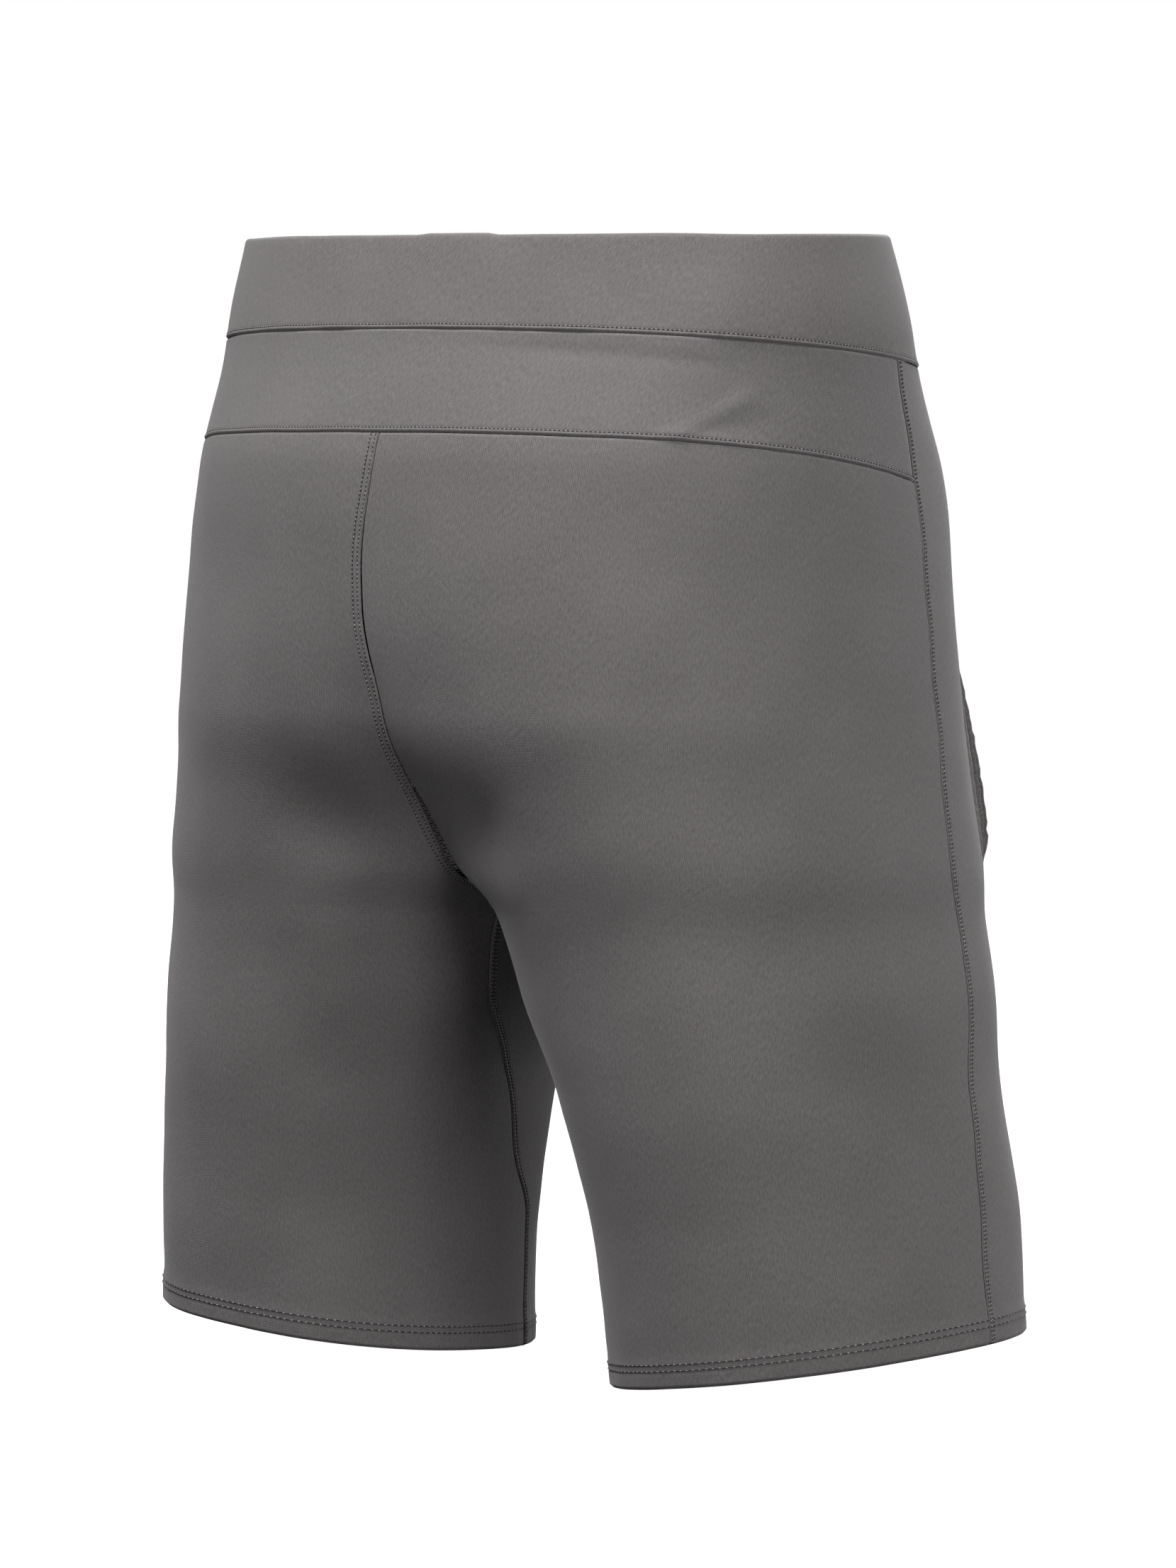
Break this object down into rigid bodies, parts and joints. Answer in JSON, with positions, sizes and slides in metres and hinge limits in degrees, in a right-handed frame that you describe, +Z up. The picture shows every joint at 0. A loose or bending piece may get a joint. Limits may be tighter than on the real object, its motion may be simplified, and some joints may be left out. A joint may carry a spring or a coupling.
{
  "type": "padded impact shorts",
  "caption": "Close-fitting grey stretch shorts with slim foam pads in inner mesh sleeves, standing as if worn, with legs that swing at the hips.",
  "frame": {"origin": "middle of the footprint, on the floor", "axes": "+Z up, the front of the shorts faces -Y, the wearer's left is +X"},
  "size_m": [0.4237, 0.26, 0.4972],
  "materials": {
    "stretch_fabric": "satin grey stretch knit",
    "waistband_fabric": "grey stretch knit",
    "elastic": "ribbed elastic",
    "mesh": "coarse dark mesh",
    "foam": "matt closed-cell foam",
    "label_tape": "plain woven tape"
  },
  "bodies": {
    "pelvis": {"seat_panel_left": "stretch_fabric", "seat_panel_right": "stretch_fabric", "front_panel_left": "stretch_fabric", "front_panel_right": "stretch_fabric", "back_yoke": "stretch_fabric", "waistband_outer": "waistband_fabric", "waistband_facing": "waistband_fabric", "waistband_elastic": "elastic", "pocket_bag_left": "mesh", "hip_left_pad": "foam", "hip_left_pad_sleeve": "mesh", "pocket_bag_right": "mesh", "hip_right_pad": "foam", "hip_right_pad_sleeve": "mesh", "tailbone_pad": "foam", "tailbone_pad_sleeve": "mesh", "back_label": "label_tape", "care_label": "label_tape"},
    "leg_left": {"back_leg_panel_left": "stretch_fabric", "front_leg_panel_left": "stretch_fabric", "hem_turn_up_left": "stretch_fabric", "thigh_left_pad": "foam", "thigh_left_pad_sleeve": "mesh"},
    "leg_right": {"back_leg_panel_right": "stretch_fabric", "front_leg_panel_right": "stretch_fabric", "hem_turn_up_right": "stretch_fabric", "thigh_right_pad": "foam", "thigh_right_pad_sleeve": "mesh"}
  },
  "joints": [
    {"name": "hip_left", "type": "hinge", "parent": "pelvis", "child": "leg_left", "pos_m": [0.1, -0.0144, 0.3], "axis": [-1, 0, 0], "range_deg": [-15, 45]},
    {"name": "hip_right", "type": "hinge", "parent": "pelvis", "child": "leg_right", "pos_m": [-0.1, -0.0144, 0.3], "axis": [-1, 0, 0], "range_deg": [-15, 45]}
  ]
}
